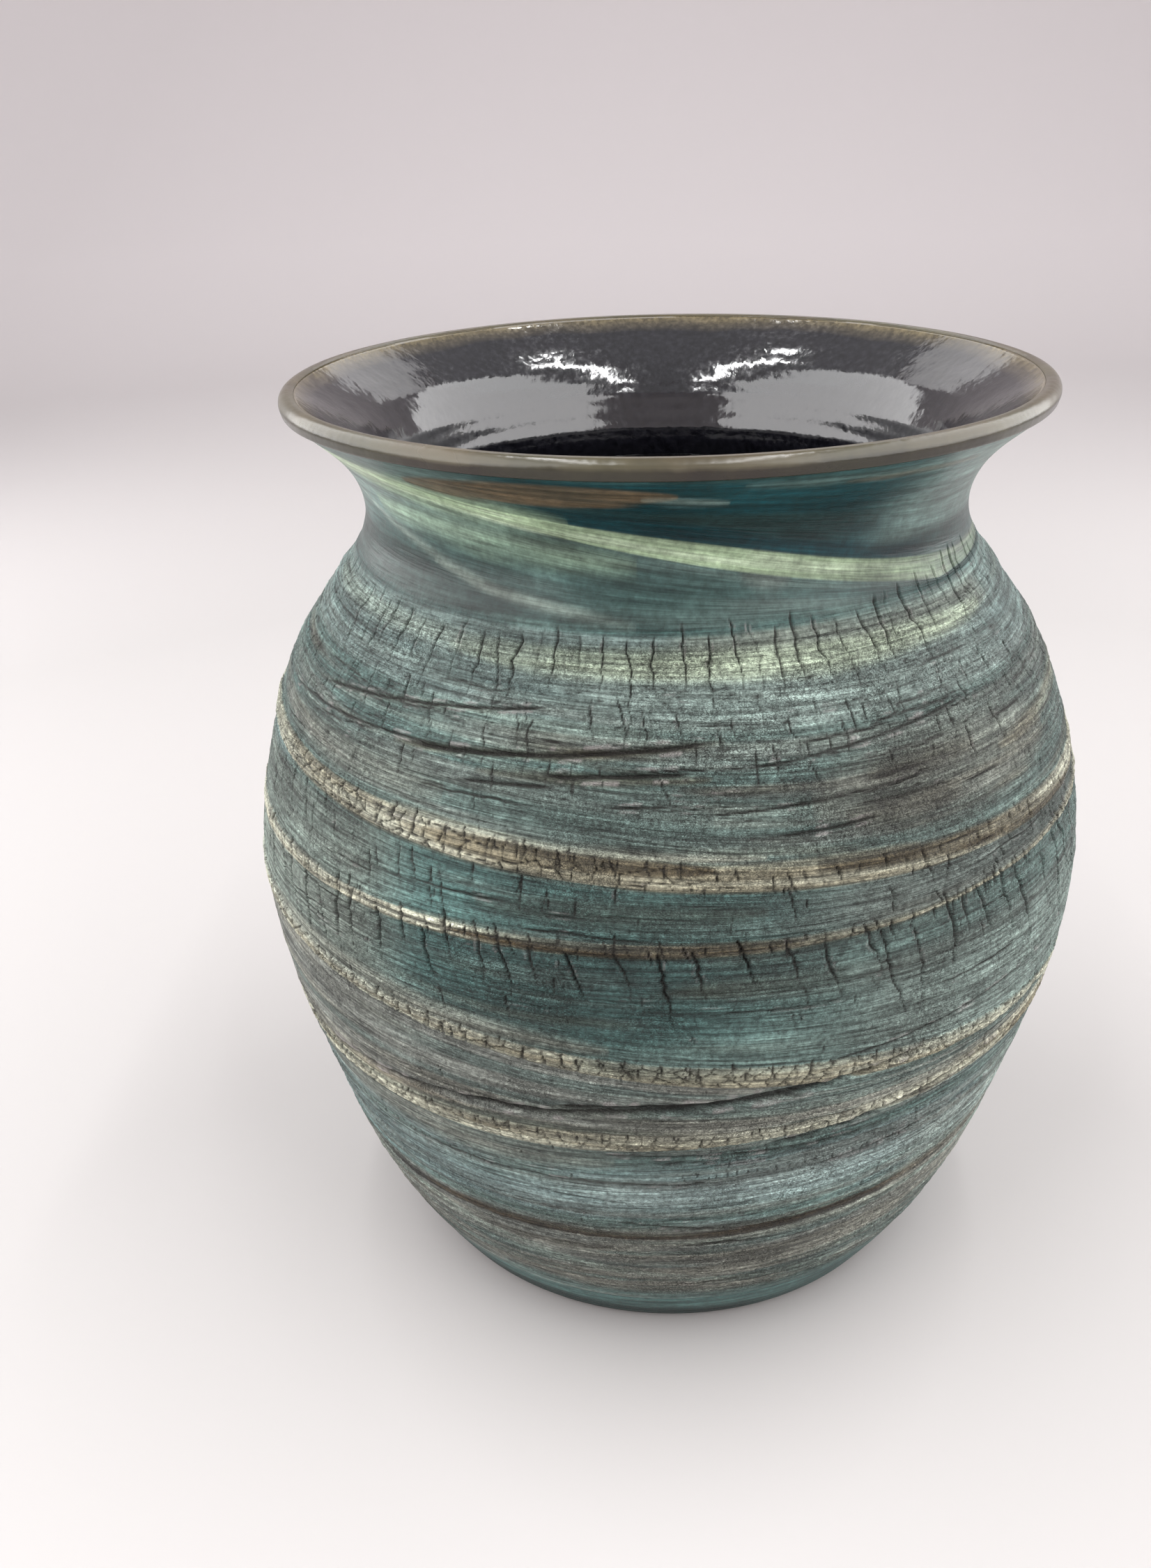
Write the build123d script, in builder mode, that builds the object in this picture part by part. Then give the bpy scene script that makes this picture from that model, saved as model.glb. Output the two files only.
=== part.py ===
from build123d import *
import math
import os

os.makedirs("parts", exist_ok=True)

# A wheel-thrown stoneware vase. The origin is the middle of the standing face, +Z is up and
# -Y is the front. The clay body carries an outer skin of differently coloured clays, laid one
# on another and fired into one piece, a glass-like liner inside and a glaze over the lip.

# Driving dimensions, mm
height = 153.7
rim_radius = 60.0
lip_radius = 1.5
flare_angle = 50.0
neck_radius = 48.4
neck_height = 134.5
belly_radius = 71.0
belly_height = 79.0
foot_radius = 47.6
foot_chamfer = 1.2
skin_depth = 1.4
glaze_depth = 0.6
wall_at_neck = 4.0
wall_at_belly = 5.0
wall_at_foot = 6.5
floor_height = 8.0
foot_ring_inner = 39.0
recess_radius = 36.5
recess_depth = 2.5

# The lip is a half round, square to the flare, that joins the two faces of the wall.
flare = math.radians(flare_angle)
lip_centre = (rim_radius - lip_radius, height - lip_radius)
lip_normal = (math.cos(flare), -math.sin(flare))
lip_crest = (math.sin(flare), math.cos(flare))

# Points of the outer face from the foot up: radius, height and wall thickness there.
outer_points = [
    (foot_radius + foot_chamfer, foot_chamfer, wall_at_foot),
    (0.838 * belly_radius, 0.29 * belly_height, wall_at_foot),
    (0.916 * belly_radius, 0.53 * belly_height, wall_at_belly),
    (0.98 * belly_radius, 0.77 * belly_height, wall_at_belly),
    (belly_radius, belly_height, wall_at_belly),
    (0.945 * belly_radius, 98.5, wall_at_belly),
    (0.871 * belly_radius, 112.0, wall_at_belly),
    (1.12 * neck_radius, 123.0, wall_at_neck),
    (neck_radius, neck_height, wall_at_neck),
    (1.03 * neck_radius, 141.0, wall_at_neck),
]
foot_direction = (0.52, 0.85)

# How deep the skin and the wall are under the lip, where both thin out.
skin_at_lip = glaze_depth


def lip_point(distance):
    """The point at a distance from the lip's centre on the outer side of the wall."""
    return tuple(c + distance * n for c, n in zip(lip_centre, lip_normal))


def directions():
    """The outer face's direction at each of its points, from its neighbours."""
    rows = [(r, z) for r, z, wall in outer_points] + [lip_point(lip_radius)]
    found = [foot_direction]
    for before, after in zip(rows, rows[2:]):
        length = math.dist(before, after)
        found.append(((after[0] - before[0]) / length, (after[1] - before[1]) / length))
    return found


def face_points(depth_of):
    """Points of a face that lies depth_of(wall thickness) inside the outer face."""
    points = []
    for (r, z, wall), (dr, dz) in zip(outer_points, directions()):
        depth = depth_of(wall)
        points.append((r - depth * dz, z + depth * dr))
    return points


outer_face = face_points(lambda wall: 0) + [lip_point(lip_radius)]
clay_face = face_points(lambda wall: skin_depth) + [lip_point(lip_radius - skin_at_lip)]
floor_bend = (0.62 * belly_radius, 2.2 * floor_height)


def inner_points(extra):
    """The inside of the vase from the middle of its floor up, extra mm in from the clay."""
    wall_points = face_points(lambda wall: wall + extra)[2:]
    bend = (floor_bend[0] - extra, floor_bend[1] + 0.7 * extra)
    return [(0, floor_height + extra), bend] + wall_points + [lip_point(-lip_radius + glaze_depth - extra)]


def side(points, start, end):
    """A smooth upright curve through the points, with its directions at both ends."""
    return Spline(*points, tangents=(start, end))


def plane_at(height_at_axis, rise):
    """A plane that crosses the axis at a height and rises to the right by rise mm per mm."""
    return Plane(origin=(0, 0, height_at_axis), x_dir=(1, 0, rise), z_dir=(-rise, 0, 1))


# The clay body: wall, floor and turned foot ring in one piece.
with BuildPart() as clay_body:
    with BuildSketch(Plane.XZ):
        with BuildLine():
            side(clay_face, foot_direction, lip_crest)
            ThreePointArc(
                lip_point(lip_radius - glaze_depth),
                tuple(c + (lip_radius - glaze_depth) * d for c, d in zip(lip_centre, lip_crest)),
                lip_point(glaze_depth - lip_radius),
            )
            side(inner_points(0), (1, 0), lip_crest)
            Polyline(
                (0, floor_height),
                (0, recess_depth),
                (recess_radius, recess_depth),
                (foot_ring_inner, 0),
                (foot_radius - skin_depth, 0),
                clay_face[0],
            )
        make_face()
    revolve(axis=Axis.Z)
clay_body.part.label = "clay_body"
export_step(clay_body.part, "parts/clay_body.step")

# The liner: a black glaze, poured inside and over the floor.
with BuildPart() as liner_glaze:
    with BuildSketch(Plane.XZ):
        with BuildLine():
            side(inner_points(0), (1, 0), lip_crest)
            side(inner_points(glaze_depth), (1, 0), lip_crest)
            Line((0, floor_height), (0, floor_height + glaze_depth))
            Line(lip_point(glaze_depth - lip_radius), lip_point(-lip_radius))
        make_face()
    revolve(axis=Axis.Z)
liner_glaze.part.label = "liner_glaze"
export_step(liner_glaze.part, "parts/liner_glaze.step")

# The lip glaze: a half-round cap, from the outer face of the wall over to the liner.
with BuildPart() as lip_glaze:
    with BuildSketch(Plane.XZ):
        with BuildLine():
            for radius in (lip_radius, lip_radius - glaze_depth):
                ThreePointArc(
                    lip_point(radius),
                    tuple(c + radius * d for c, d in zip(lip_centre, lip_crest)),
                    lip_point(-radius),
                )
            Line(lip_point(lip_radius - glaze_depth), lip_point(lip_radius))
            Line(lip_point(glaze_depth - lip_radius), lip_point(-lip_radius))
        make_face()
    revolve(axis=Axis.Z)
lip_glaze.part.label = "lip_glaze"
export_step(lip_glaze.part, "parts/lip_glaze.step")

# The outer skin, as layers of coloured clay from the foot up. Each row gives the layer's name,
# the height where its top face crosses the axis, and how steeply that face rises to the right.
skin_layers = [
    ("foot_band", 10.5, 0.0),
    ("lower_skin", 31.6, 0.06),
    ("brown_seam", 33.4, 0.06),
    ("blue_skin", 55.0, 0.05),
    ("buff_seam", 58.4, 0.05),
    ("middle_skin", 69.2, -0.09),
    ("cream_seam_low", 72.2, -0.09),
    ("dark_skin", 89.0, 0.03),
    ("cream_seam_middle", 91.3, 0.03),
    ("teal_skin", 98.2, -0.055),
    ("cream_seam_high", 101.6, -0.055),
    ("shoulder_skin", 128.5, 0.0),
    ("neck_skin", 139.2, -0.15),
    ("green_seam", 141.6, -0.15),
    ("collar_skin", None, None),
]

floor_plane = None
for name, top_height, top_rise in skin_layers:
    with BuildPart() as layer:
        with BuildSketch(Plane.XZ):
            with BuildLine():
                side(outer_face, foot_direction, lip_crest)
                side(clay_face, foot_direction, lip_crest)
                Line(outer_face[0], clay_face[0])
                Line(outer_face[-1], clay_face[-1])
            make_face()
        revolve(axis=Axis.Z)
        if floor_plane:
            split(bisect_by=floor_plane, keep=Keep.TOP)
        if top_height:
            floor_plane = plane_at(top_height, top_rise)
            split(bisect_by=floor_plane, keep=Keep.BOTTOM)
    layer.part.label = name
    export_step(layer.part, f"parts/{name}.step")
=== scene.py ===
"""Looks of the stoneware vase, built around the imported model.

Mesh code works in millimetres and turns into metres when a mesh is made. Angles round the vase
are in degrees in the lists, from the front (-Y) towards the right (+X).
"""

import math

import bpy
import numpy as np
from mathutils import Matrix, Vector


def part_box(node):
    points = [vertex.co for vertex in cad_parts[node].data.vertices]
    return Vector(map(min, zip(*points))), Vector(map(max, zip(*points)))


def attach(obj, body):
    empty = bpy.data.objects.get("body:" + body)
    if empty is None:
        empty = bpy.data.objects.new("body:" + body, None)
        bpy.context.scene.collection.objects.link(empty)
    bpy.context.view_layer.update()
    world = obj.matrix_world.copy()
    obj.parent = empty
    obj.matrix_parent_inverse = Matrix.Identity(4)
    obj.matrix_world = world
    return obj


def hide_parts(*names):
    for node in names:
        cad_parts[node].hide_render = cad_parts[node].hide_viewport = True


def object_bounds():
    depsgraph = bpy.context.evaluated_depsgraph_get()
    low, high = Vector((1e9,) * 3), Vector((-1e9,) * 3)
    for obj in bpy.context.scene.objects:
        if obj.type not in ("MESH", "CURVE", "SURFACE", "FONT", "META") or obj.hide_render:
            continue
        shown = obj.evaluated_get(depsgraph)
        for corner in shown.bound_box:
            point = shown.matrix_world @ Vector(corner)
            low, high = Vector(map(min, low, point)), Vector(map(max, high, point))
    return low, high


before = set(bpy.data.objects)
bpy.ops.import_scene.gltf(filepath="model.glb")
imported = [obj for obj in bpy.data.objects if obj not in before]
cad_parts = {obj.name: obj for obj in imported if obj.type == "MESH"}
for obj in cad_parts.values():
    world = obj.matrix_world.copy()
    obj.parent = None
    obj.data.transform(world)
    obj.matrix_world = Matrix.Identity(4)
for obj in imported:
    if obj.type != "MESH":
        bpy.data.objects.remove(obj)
cad_low, cad_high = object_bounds()

MM = 0.001
TURN = 2 * math.pi
COLUMNS = 1500
ROW_PITCH = 0.33

# ---- driving dimensions, mm
height = cad_high.z / MM
rim_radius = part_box("lip_glaze")[1].x / MM
belly_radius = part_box("dark_skin")[1].x / MM
foot_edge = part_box("foot_band")[0].z / MM
glaze_depth = 0.6
lip_radius = 1.5
belly_height = 79.0
neck_radius = 48.4
neck_height = 134.5
floor_height = 8.0
thinnest_layer = 0.7
room_per_layer = 0.9
clay_depth_low, clay_depth_lip = 1.35, 0.6
wall_at_foot, wall_at_belly, wall_at_neck = 6.5, 5.0, 4.0
flare = math.radians(50)
lip_centre = np.array([rim_radius - lip_radius, height - lip_radius])
lip_normal = np.array([math.cos(flare), -math.sin(flare)])
lip_crest = np.array([math.sin(flare), math.cos(flare)])
foot_direction = np.array([0.52, 0.85])
outer_points = [
    (48.8, foot_edge, wall_at_foot),
    (0.838 * belly_radius, 0.29 * belly_height, wall_at_foot),
    (0.916 * belly_radius, 0.53 * belly_height, wall_at_belly),
    (0.98 * belly_radius, 0.77 * belly_height, wall_at_belly),
    (belly_radius, belly_height, wall_at_belly),
    (0.945 * belly_radius, 98.5, wall_at_belly),
    (0.871 * belly_radius, 112.0, wall_at_belly),
    (1.12 * neck_radius, 123.0, wall_at_neck),
    (neck_radius, neck_height, wall_at_neck),
    (1.03 * neck_radius, 141.0, wall_at_neck),
]


def smooth_curve(points, start, end, count):
    """Points along a smooth curve through the given ones, with its directions at both ends."""
    points = np.array(points, float)
    gaps = np.linalg.norm(np.diff(points, axis=0), axis=1)
    last = len(points) - 1
    system = np.zeros((last + 1, last + 1))
    right = np.zeros_like(points)
    system[0, 0] = system[last, last] = 1
    right[0], right[last] = start, end
    for i in range(1, last):
        before, after = gaps[i - 1], gaps[i]
        system[i, i - 1 : i + 2] = 1 / before, 2 / before + 2 / after, 1 / after
        right[i] = 3 * (points[i] - points[i - 1]) / before**2
        right[i] += 3 * (points[i + 1] - points[i]) / after**2
    slopes = np.linalg.solve(system, right)
    places = np.linspace(0, gaps.sum(), count)
    knots = np.concatenate([[0], np.cumsum(gaps)])
    i = np.clip(np.searchsorted(knots, places, side="right") - 1, 0, last - 1)
    h = gaps[i][:, None]
    t = ((places - knots[i]) / gaps[i])[:, None]
    curve = (2 * t**3 - 3 * t**2 + 1) * points[i] + (t**3 - 2 * t**2 + t) * h * slopes[i]
    return curve + (3 * t**2 - 2 * t**3) * points[i + 1] + (t**3 - t**2) * h * slopes[i + 1]


def lip_point(distance):
    """The point at a distance from the lip's centre, on the outer side of the wall."""
    return lip_centre + distance * lip_normal


def face_points(depth_of):
    """Points of a face that lies depth_of(wall thickness) inside the outer face."""
    rows = [np.array(p[:2]) for p in outer_points] + [lip_point(lip_radius)]
    ways = [foot_direction]
    ways += [(b - a) / np.linalg.norm(b - a) for a, b in zip(rows, rows[2:])]
    moved = []
    for row, (dr, dz), (_, _, wall) in zip(rows, ways, outer_points):
        moved.append(row + depth_of(wall) * np.array([-dz, dr]))
    return moved


outer_curve = smooth_curve(
    face_points(lambda wall: 0) + [lip_point(lip_radius)], foot_direction, lip_crest, 4000
)

steps = np.gradient(outer_curve, axis=0)
steps /= np.linalg.norm(steps, axis=1)[:, None]


def outward(heights):
    """The radial and the upward part of the outer face's normal at given heights."""
    known = outer_curve[:, 1]
    return np.interp(heights, known, steps[:, 1]), np.interp(heights, known, -steps[:, 0])


def liner_curve(extra, count):
    """The inside of the vase from the middle of its floor up, extra mm in from the clay."""
    wall_points = face_points(lambda wall: wall + extra)[2:]
    bend = (0.62 * belly_radius - extra, 2.2 * floor_height + 0.7 * extra)
    points = [(0, floor_height + extra), bend] + wall_points
    points.append(lip_point(-lip_radius + glaze_depth - extra))
    return smooth_curve(points, (1, 0), lip_crest, count)


# ---- the skin's grid
# Each layer of coloured clay: its node, the height of its top face at the front, how steeply
# that face rises to the right, and how far it wanders, in mm.
layers = [
    ("foot_band", 10.5, 0.0, 0.5),
    ("lower_skin", 31.8, 0.060, 0.5),
    ("brown_seam", 34.2, 0.062, 0.5),
    ("blue_skin", 55.0, 0.050, 0.6),
    ("buff_seam", 58.2, 0.055, 0.6),
    ("middle_skin", 69.3, -0.090, 0.6),
    ("cream_seam_low", 72.4, -0.092, 0.7),
    ("dark_skin", 89.3, 0.030, 0.5),
    ("cream_seam_middle", 91.2, 0.028, 0.5),
    ("teal_skin", 98.3, -0.055, 0.6),
    ("cream_seam_high", 101.7, -0.052, 0.7),
    ("shoulder_skin", 128.5, 0.0, 0.6),
    ("neck_skin", 137.5, -0.21, 0.5),
    ("green_seam", 140.5, -0.20, 0.5),
    ("collar_skin", lip_point(lip_radius)[1], 0.0, 0.0),
]

angle = (np.arange(COLUMNS) + 0.5) / COLUMNS * TURN - math.pi
degrees = np.degrees(angle)


def waves(seed, count=5):
    """A closed, gently wandering line round the vase, from about -1 to 1."""
    rng = np.random.default_rng(seed)
    line = np.zeros_like(angle)
    for turns in range(2, 2 + count):
        line += rng.normal() / turns * np.sin(turns * angle + rng.uniform(0, TURN))
    return line


def radius_at(z):
    return np.interp(z, outer_curve[:, 1], outer_curve[:, 0])


faces_up = [np.full(COLUMNS, foot_edge)]
front_heights = [foot_edge]
for number, (name, top, rise, wander) in enumerate(layers):
    line = top + rise * radius_at(top) * np.sin(angle) + wander * waves(100 + number)
    ceiling = lip_point(lip_radius)[1] - room_per_layer * (len(layers) - 1 - number)
    faces_up.append(np.clip(line, faces_up[-1] + thinnest_layer, ceiling))
    front_heights.append(top)

row_heights, row_flow, first_row = [faces_up[0]], [front_heights[0]], [0]
for number in range(len(layers)):
    low, high = faces_up[number], faces_up[number + 1]
    count = max(3, math.ceil((high - low).max() * (1.25 if number > 10 else 1.02) / ROW_PITCH))
    for step in range(1, count + 1):
        share = step / count
        row_heights.append(low + share * (high - low))
        row_flow.append((1 - share) * front_heights[number] + share * front_heights[number + 1])
    first_row.append(first_row[-1] + count)

z = np.array(row_heights)
flow = np.array(row_flow)[:, None] * np.ones(COLUMNS)
deg = degrees[None, :] * np.ones(z.shape)
radius = radius_at(z)


# ---- noise and masks on the grid
def smoothstep(low, high, x):
    t = np.clip((x - low) / (high - low), 0, 1)
    return t * t * (3 - 2 * t)


def noise(seed, around, step, up=None):
    """Smooth noise from -1 to 1: around is how many cells close the circle, step is mm high."""
    up = flow if up is None else up
    v = up / step
    u = (deg / 360 + 0.5) * around
    base_u, base_v = np.floor(u).astype(int), np.floor(v).astype(int)
    fu, fv = u - base_u, v - base_v
    fu, fv = fu * fu * (3 - 2 * fu), fv * fv * (3 - 2 * fv)
    lowest = base_v.min()
    table = np.random.default_rng(seed).uniform(-1, 1, (base_v.max() - lowest + 2, around))
    base_v -= lowest
    left, right = base_u % around, (base_u + 1) % around
    low = table[base_v, left] * (1 - fu) + table[base_v, right] * fu
    high = table[base_v + 1, left] * (1 - fu) + table[base_v + 1, right] * fu
    return low * (1 - fv) + high * fv


def cell_edges(seed, around, step, stretch=0.0):
    """How far each point is from the nearest edge between scattered cells, in cell sizes."""
    v = z / step + stretch * noise(seed + 1, around // 3, step * 2)
    u = (deg / 360 + 0.5) * around + stretch * noise(seed + 2, around // 3, step * 2)
    base_u, base_v = np.floor(u).astype(int), np.floor(v).astype(int)
    lowest = base_v.min() - 1
    rng = np.random.default_rng(seed)
    jitter = rng.uniform(0.12, 0.88, (base_v.max() - lowest + 3, around, 2))
    nearest = np.full(z.shape, 9.0)
    second = np.full(z.shape, 9.0)
    for dv in (-1, 0, 1):
        for du in (-1, 0, 1):
            spot = jitter[base_v + dv - lowest, (base_u + du) % around]
            gap = np.hypot(base_u + du + spot[..., 0] - u, base_v + dv + spot[..., 1] - v)
            second = np.minimum(second, np.maximum(nearest, gap))
            nearest = np.minimum(nearest, gap)
    return second - nearest


def turn_to(places, at):
    """Degrees from an angle round the vase to other ones, from -180 to 180."""
    return (places - at + 180) % 360 - 180


def arc(start, end, soft=6.0):
    """1 between two angles, fading out over soft degrees beyond them."""
    middle, half = (start + end) / 2, (end - start) / 2
    return 1 - smoothstep(half, half + soft, np.abs(turn_to(degrees, middle)))


def belt(low, high, soft=1.0, of=None):
    """1 between two heights along the flow of the clay, fading out over soft mm beyond them."""
    of = flow if of is None else of
    return smoothstep(low - soft, low, of) * (1 - smoothstep(high, high + soft, of))


# ---- cracks
groove = np.zeros(z.shape)
lips = np.zeros(z.shape)
shade = np.zeros(z.shape)
beads = np.clip(0.55 + 0.9 * noise(71, 230, 1.6, z), 0, 1.3)


def window(at, half_width, low, high):
    """The rows and columns of the grid near an angle and between two heights."""
    middle = int(round((at + 180) / 360 * COLUMNS))
    half = max(3, int(half_width / 360 * COLUMNS) + 1)
    columns = np.arange(middle - half, middle + half + 1) % COLUMNS
    column = z[:, middle % COLUMNS]
    first, last = np.searchsorted(column, (low - 3, high + 3))
    return slice(first, max(last, first + 1)), columns


def cut(rows, columns, distance, fade, width, depth, lip):
    """Presses a groove into the window, with painted shade in it and lips beside it: distance in mm
    from its line, fade along it.
    """
    span = np.maximum(width * np.sqrt(fade), 0.13)
    near = np.exp(-((distance / span) ** 2)) * fade
    here = np.ix_(np.arange(rows.start, rows.stop), columns)
    groove[here] = np.maximum(groove[here], depth * near)
    # painted shade in the groove, stronger where the groove is deeper
    groove_shade = min(1.0, depth / 0.36) * np.exp(-((distance / (0.95 * span)) ** 2)) * fade**0.5
    shade[here] = np.maximum(shade[here], groove_shade)
    edge = np.exp(-(((np.abs(distance) - 2.2 * span) / (1.1 * span)) ** 2)) * fade
    lips[here] = np.maximum(lips[here], lip * edge * beads[here])


def jagged(rng, low, high, step, size):
    """A line that wanders by size mm every step mm, as its places and offsets."""
    places = np.arange(low - step, high + 2 * step, step)
    wander = np.cumsum(rng.normal(0, size, len(places)))
    wander -= np.linspace(wander[0], wander[-1], len(places))
    return places, wander + rng.normal(0, 0.5 * size, len(places))


def upright_crack(rng, at, low, high, lean, width=0.2, depth=0.5, lip=0.1):
    """A crack that opens at the top and closes lower down; lean is mm to the right per mm down."""
    rows, columns = window(at, 5 + abs(lean) * (high - low), low, high)
    heights = z[rows, :][:, columns]
    across = np.radians(turn_to(degrees[columns], at)) * radius[rows, :][:, columns]
    places, offsets = jagged(rng, low, high, 0.8, 0.17)
    line = np.interp(heights, places, offsets) + lean * (0.5 * (low + high) - heights)
    fade = np.clip((heights - low) / (0.55 * (high - low)), 0, 1) ** 0.8
    fade *= np.clip((high - heights) / 0.9, 0, 1)
    cut(rows, columns, across - line, fade, width, depth, lip)


def level_crack(rng, start, end, start_z, end_z, width=0.2, depth=0.4, lip=0.1, size=0.08):
    """A tear that runs round the vase from one angle and height to another."""
    middle, half = (start + end) / 2, (end - start) / 2
    low, high = min(start_z, end_z), max(start_z, end_z)
    rows, columns = window(middle, half + 1, low - 2, high + 2)
    heights = z[rows, :][:, columns]
    share = (turn_to(degrees[columns], middle) / half)[None, :]
    places, offsets = jagged(rng, -1, 1, 1.1 / half, size)
    line = start_z + (end_z - start_z) * (share + 1) / 2
    line += np.interp(share, places, offsets)
    fade = np.clip((1 - np.abs(share)) * max(half / 3.5, 1), 0, 1)
    cut(rows, columns, heights - line, fade, width, depth, lip)


def wheel_line(rng, start, end, level, width, depth):
    """A fine line that the wheel drew, which follows the flow of the clay between two angles."""
    middle, half = (start + end) / 2, (end - start) / 2
    turns = turn_to(degrees, middle)
    columns = np.flatnonzero(np.abs(turns) < half)
    first, last = np.searchsorted(row_flow, (level - 1.0, level + 1.0))
    rows = slice(first, max(last, first + 1))
    number = np.searchsorted(front_heights, level) - 1
    share = (level - front_heights[number]) / (front_heights[number + 1] - front_heights[number])
    line = (1 - share) * faces_up[number][columns] + share * faces_up[number + 1][columns]
    places, offsets = jagged(rng, -1, 1, 3.0 / half, 0.04)
    reach = turns[columns] / half
    line = line + np.interp(reach, places, offsets)
    fade = np.clip((1 - np.abs(reach)) * half / 8, 0, 1)[None, :]
    cut(rows, columns, z[rows, :][:, columns] - line, fade, width, depth, 0.04)


def side_cracks(rng, at, low, high, count, reach):
    """Short cracks that run off to either side of an upright one."""
    for _ in range(count):
        there = rng.uniform(low, high)
        turns = rng.uniform(0.4, 1) * reach * rng.choice([-1, 1])
        start, end = sorted((at, at + turns))
        climb = rng.uniform(-0.4, 0.4)
        level_crack(rng, start, end, there, there + climb, rng.uniform(0.13, 0.18), 0.28, 0.06)


def crack_rows(rng):
    """The rows of long cracks: under the neck, across the shoulder and in the dark layer."""
    at = -180.0
    while at < 178:
        rise = 2.6 * smoothstep(30, 62, at) + 0.8 * np.sin(math.radians(2.3 * at))
        top = 128.6 + rise + rng.uniform(-1.0, 1.0)
        low = top - rng.uniform(7.0, 13.0)
        width, depth = rng.uniform(0.12, 0.21), rng.uniform(0.16, 0.55)
        upright_crack(rng, at, low, top, rng.uniform(-0.05, 0.2), width, depth)
        side_cracks(rng, at, low, top - 3, 3, 2.2)
        at += rng.uniform(2.3, 4.3)
    at = -180.0
    while at < 178:
        top = rng.uniform(112, 122)
        low = top - rng.uniform(2.5, 7.0)
        upright_crack(rng, at, low, top, rng.uniform(-0.05, 0.25), rng.uniform(0.13, 0.19), 0.35)
        side_cracks(rng, at, low, top, 2, 2.0)
        at += rng.uniform(1.6, 3.4)
    at = -179.0
    while at < 177:
        top = np.interp(at, degrees, faces_up[9]) + rng.uniform(-2.5, 2.0)
        low = top - rng.uniform(6.0, 16.0)
        lean = rng.uniform(0.1, 0.42)
        upright_crack(rng, at, low, top, lean, rng.uniform(0.16, 0.28), rng.uniform(0.4, 0.85))
        side_cracks(rng, at, low + 2, top, 3, 2.4)
        if rng.random() < 0.4:
            foot = low - rng.uniform(1, 5)
            upright_crack(rng, at + rng.uniform(1, 3), foot, foot + 5, 0.3, 0.16, 0.35)
        at += rng.uniform(2.6, 5.4)


def crack_seams(rng):
    """Short cracks across the thin seams, and small ticks below the buff one."""
    for seam, every, longest in ((9, 2.6, 4.0), (11, 3.0, 4.5), (7, 2.2, 4.0), (5, 2.2, 3.6)):
        at = -179.5
        while at < 177:
            top = np.interp(at, degrees, faces_up[seam]) + rng.uniform(-0.4, 0.9)
            low = top - rng.uniform(1.6, longest)
            upright_crack(rng, at, low, top, rng.uniform(-0.1, 0.4), rng.uniform(0.15, 0.24), 0.5)
            at += every * rng.uniform(0.4, 1.6)
    for _ in range(120):
        at = rng.uniform(-180, 180)
        top = np.interp(at, degrees, faces_up[10]) + rng.uniform(-4, 1.5)
        upright_crack(rng, at, top - rng.uniform(2, 7), top, rng.uniform(0, 0.3), 0.17, 0.4)
    for first, last, there in ((3, 50, 49.8), (-165, -90, 47.0), (-60, -20, 46.0)):
        for at in np.arange(first, last, 1.3):
            top = there + rng.uniform(-0.6, 0.4)
            upright_crack(rng, at, top - rng.uniform(1.0, 2.4), top, 0.2, 0.16, 0.35)


# Tears along the throwing lines that the photo shows: start, end, height at each, width, depth
TEARS = [
    (-58, -14, 114.6, 119.6, 0.20, 0.5),
    (-36, 7, 112.3, 116.2, 0.32, 0.8),
    (-16, 5, 111.6, 112.8, 0.34, 0.8),
    (-27, -12, 109.6, 110.6, 0.26, 0.5),
    (9, 46, 112.8, 115.9, 0.22, 0.45),
    (4, 34, 107.6, 108.6, 0.18, 0.35),
    (12, 28, 104.2, 105.0, 0.22, 0.45),
    (-8, 3, 108.4, 108.9, 0.20, 0.4),
    (-70, -30, 111.0, 113.0, 0.18, 0.4),
    (-36, 33, 58.2, 68.2, 0.46, 1.3),
    (-14, 20, 62.4, 66.6, 0.62, 1.3),
    (-62, -18, 54.2, 61.6, 0.28, 0.6),
    (12, 52, 54.8, 60.7, 0.42, 0.9),
    (-10, 30, 53.5, 53.8, 0.20, 0.4),
    (20, 54, 48.0, 51.0, 0.22, 0.4),
    (-8, 8, 36.6, 34.5, 0.30, 0.5),
    (-45, -5, 44.0, 46.5, 0.18, 0.3),
    (5, 20, 51.0, 52.6, 0.18, 0.4),
    (16, 66, 70.2, 74.6, 0.20, 0.4),
    (-60, -30, 57.2, 58.6, 0.18, 0.3),
    (90, 146, 60, 64.5, 0.5, 1.0),
    (-148, -96, 82, 86, 0.4, 0.9),
    (148, 196, 110.5, 113.5, 0.34, 0.8),
    (-172, -128, 56.5, 59.5, 0.46, 0.9),
]


def crack_the_skin():
    """The cracks that opened when the dry skin was stretched from inside."""
    rng = np.random.default_rng(7)
    crack_rows(rng)
    crack_seams(rng)
    for _ in range(300):
        at, half = rng.uniform(-180, 180), rng.uniform(12, 70)
        level = rng.uniform(13, 122)
        wheel_line(rng, at - half, at + half, level, rng.uniform(0.11, 0.18), rng.uniform(0.06, 0.2))
    for start, end, start_z, end_z, width, depth in TEARS:
        level_crack(rng, start, end, start_z, end_z, width, depth, 0.16, 0.03)
    for _ in range(520):
        at = rng.uniform(-180, 180)
        low, high = ((103, 121), (33, 66), (74, 98), (14, 32))[rng.choice(4, p=(0.4, 0.3, 0.2, 0.1))]
        there = rng.uniform(low, high)
        reach, climb = rng.uniform(1.0, 3.2) ** 2, rng.uniform(-0.5, 0.8)
        width, depth = rng.uniform(0.12, 0.22), rng.uniform(0.12, 0.42)
        level_crack(rng, at - reach, at + reach, there, there + climb, width, depth)
    for _ in range(560):
        at, low = rng.uniform(-180, 180), rng.uniform(34, 120)
        high = low + rng.uniform(1.2, 4.5)
        upright_crack(rng, at, low, high, rng.uniform(-0.2, 0.5), rng.uniform(0.12, 0.17), 0.26)


crack_the_skin()


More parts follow.
